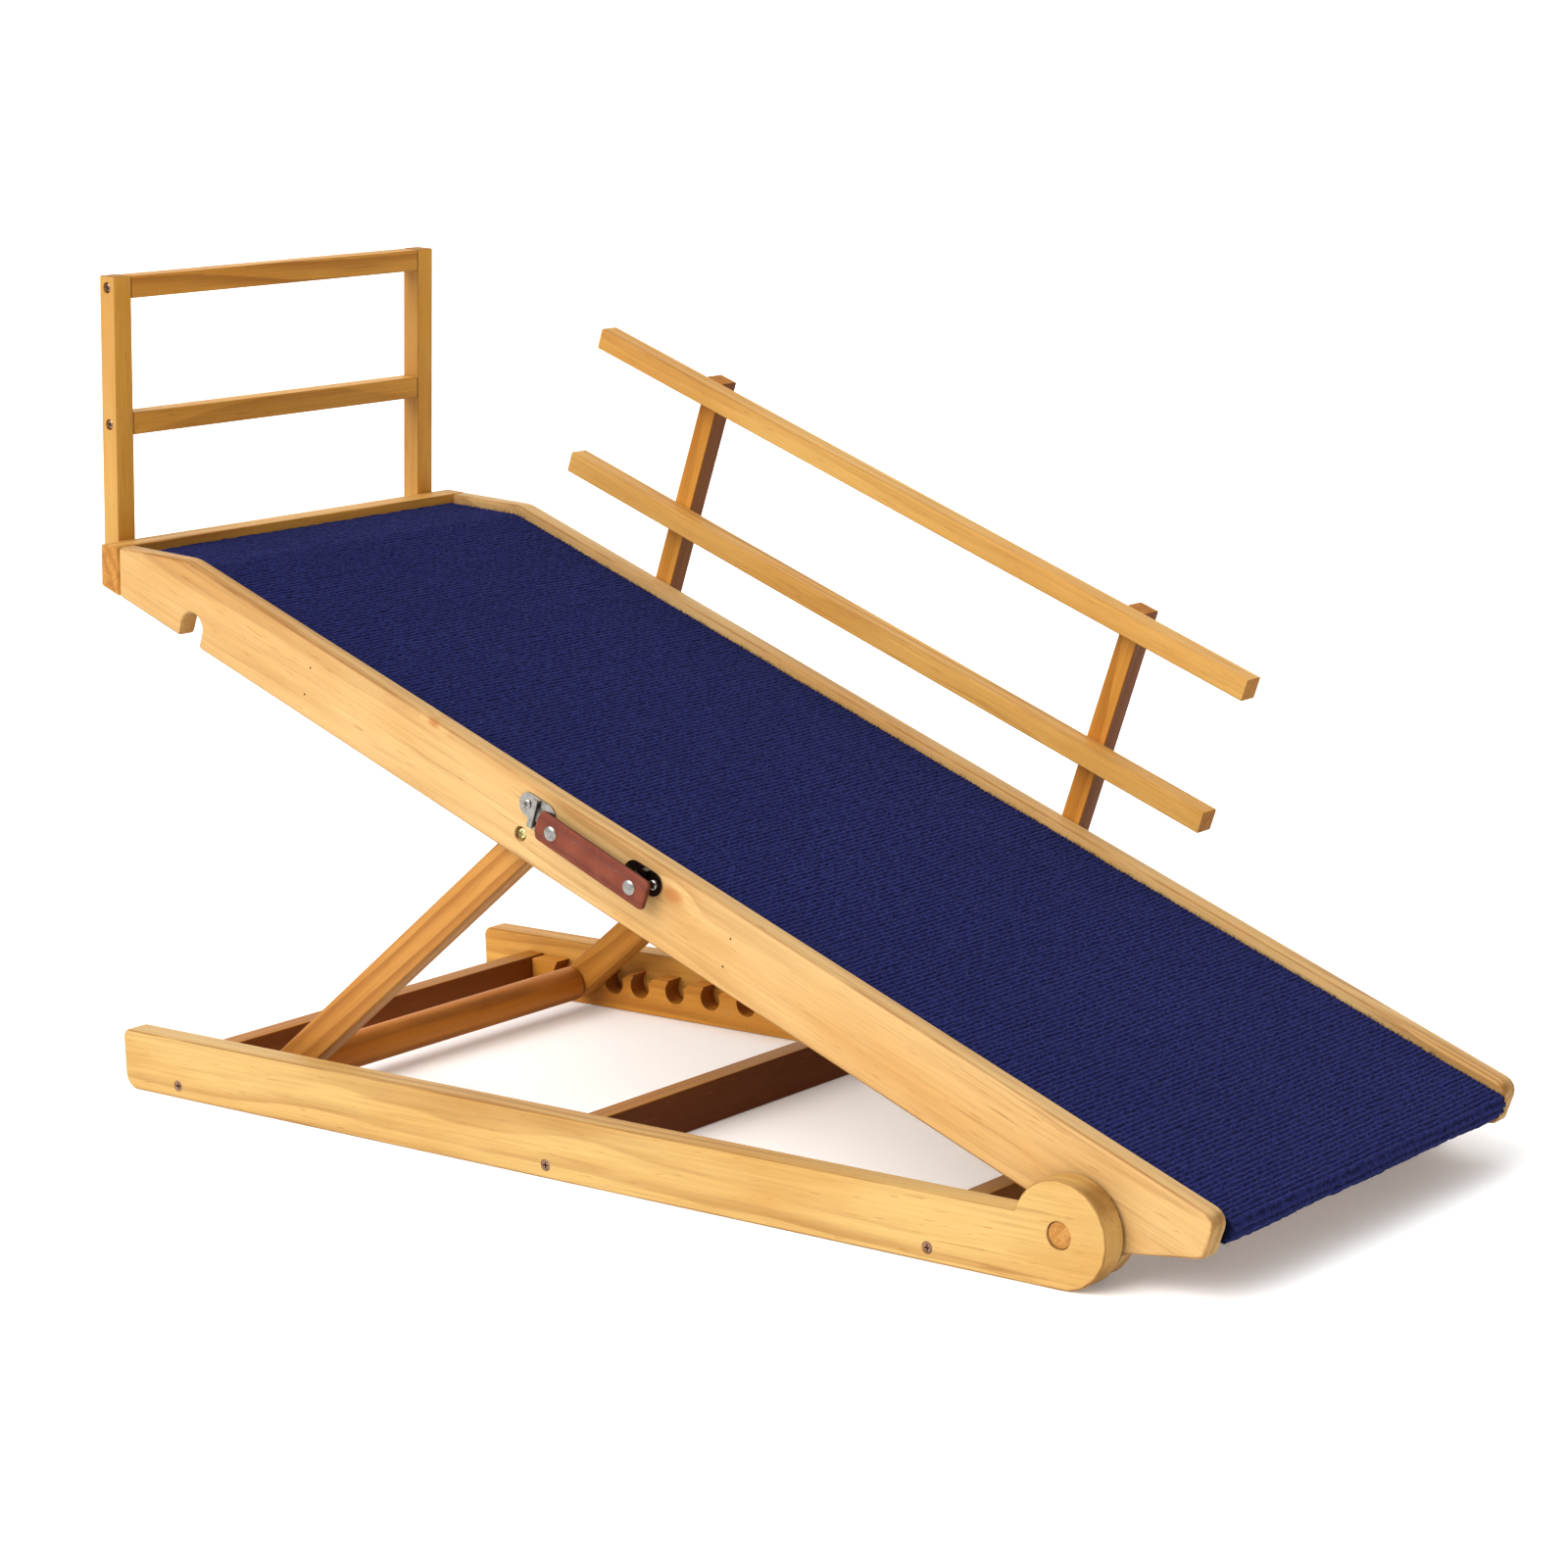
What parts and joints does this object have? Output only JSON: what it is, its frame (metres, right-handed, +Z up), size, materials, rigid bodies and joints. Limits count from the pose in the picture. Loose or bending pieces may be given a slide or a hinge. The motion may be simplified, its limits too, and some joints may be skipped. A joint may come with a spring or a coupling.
{
  "type": "folding pet ramp",
  "caption": "Folding pine pet ramp: carpeted deck on a hinged frame, round prop bar in notched racks, end and side guards, carry strap.",
  "frame": {"origin": "on the floor, under the middle of the bounding box", "axes": "+Z up; -X towards the high end with the platform, +X towards the entry; -Y is the open side with the carry handle, +Y the side with the guard"},
  "size_m": [0.973, 0.4, 0.5911],
  "materials": {
    "pine": "clear satin varnish, honey coloured",
    "plywood": "bare",
    "carpet": "ribbed needle-felt, navy with pale flecks",
    "leather": "smooth, reddish brown",
    "nickel": "nickel plated, bright",
    "bronze_screw": "antique bronze plated, dull",
    "zinc_screw": "yellow zinc plated"
  },
  "bodies": {
    "base": {"Base_Rail_Near": "pine", "Base_Rail_Far": "pine", "Cross_Rail_Rear": "pine", "Cross_Rail_Middle": "pine", "Cross_Rail_Front": "pine", "Notch_Rack_Near": "pine", "Notch_Rack_Far": "pine", "Pivot_Pin_Near": "pine", "Pivot_Pin_Far": "pine", "Base_Screw_Rear_Near": "bronze_screw", "Base_Screw_Rear_Far": "bronze_screw", "Base_Screw_Middle_Near": "bronze_screw", "Base_Screw_Middle_Far": "bronze_screw", "Base_Screw_Front_Near": "bronze_screw", "Base_Screw_Front_Far": "bronze_screw"},
    "ramp": {"Ramp_Rail_Near": "pine", "Ramp_Rail_Far": "pine", "Head_Rail": "pine", "Deck_Slope": "plywood", "Deck_Platform": "plywood", "Toe_Batten": "pine", "Carpet": "carpet", "End_Post_Near": "pine", "End_Post_Far": "pine", "End_Bar_Top": "pine", "End_Bar_Middle": "pine", "End_Screw_Top_Near": "bronze_screw", "End_Screw_Top_Far": "bronze_screw", "End_Screw_Middle_Near": "bronze_screw", "End_Screw_Middle_Far": "bronze_screw", "End_Post_Screw_Near": "bronze_screw", "End_Post_Screw_Far": "bronze_screw", "Side_Post_Upper": "pine", "Side_Post_Lower": "pine", "Side_Rail_Top": "pine", "Side_Rail_Low": "pine", "Side_Screw_Rail_Top_Upper": "bronze_screw", "Side_Screw_Rail_Low_Upper": "bronze_screw", "Side_Screw_Foot_Low_Upper": "bronze_screw", "Side_Screw_Foot_High_Upper": "bronze_screw", "Side_Screw_Rail_Top_Lower": "bronze_screw", "Side_Screw_Rail_Low_Lower": "bronze_screw", "Side_Screw_Foot_Low_Lower": "bronze_screw", "Side_Screw_Foot_High_Lower": "bronze_screw", "Handle_Bracket_Upper": "nickel", "Handle_Bracket_Lower": "nickel", "Handle_Screw_Upper": "nickel", "Handle_Screw_Lower": "nickel", "Strut_Screw_Near": "zinc_screw", "Strut_Screw_Far": "zinc_screw"},
    "prop": {"Strut_Near": "pine", "Strut_Far": "pine", "Prop_Bar": "pine"},
    "strap": {"Handle_Strap": "leather", "Handle_Strip": "nickel", "Handle_Rivet_Upper": "nickel", "Handle_Rivet_Lower": "nickel"}
  },
  "joints": [
    {"name": "ramp_hinge", "type": "hinge", "parent": "base", "child": "ramp", "pos_m": [0.3855, 0, 0.0345], "axis": [0, 1, 0], "range_deg": [0, 15.5]},
    {"name": "prop_hinge", "type": "hinge", "parent": "ramp", "child": "prop", "pos_m": [-0.06422, 0, 0.2283], "axis": [0, 1, 0], "range_deg": [-9.5, 0]},
    {"name": "strap_slide", "type": "slide", "parent": "ramp", "child": "strap", "axis": [-0.9317, 0, 0.3633], "range_m": [0, 0.0035]}
  ],
  "couplings": [
    {"joint": "prop_hinge", "follows": "ramp_hinge", "ratio": -0.6}
  ]
}
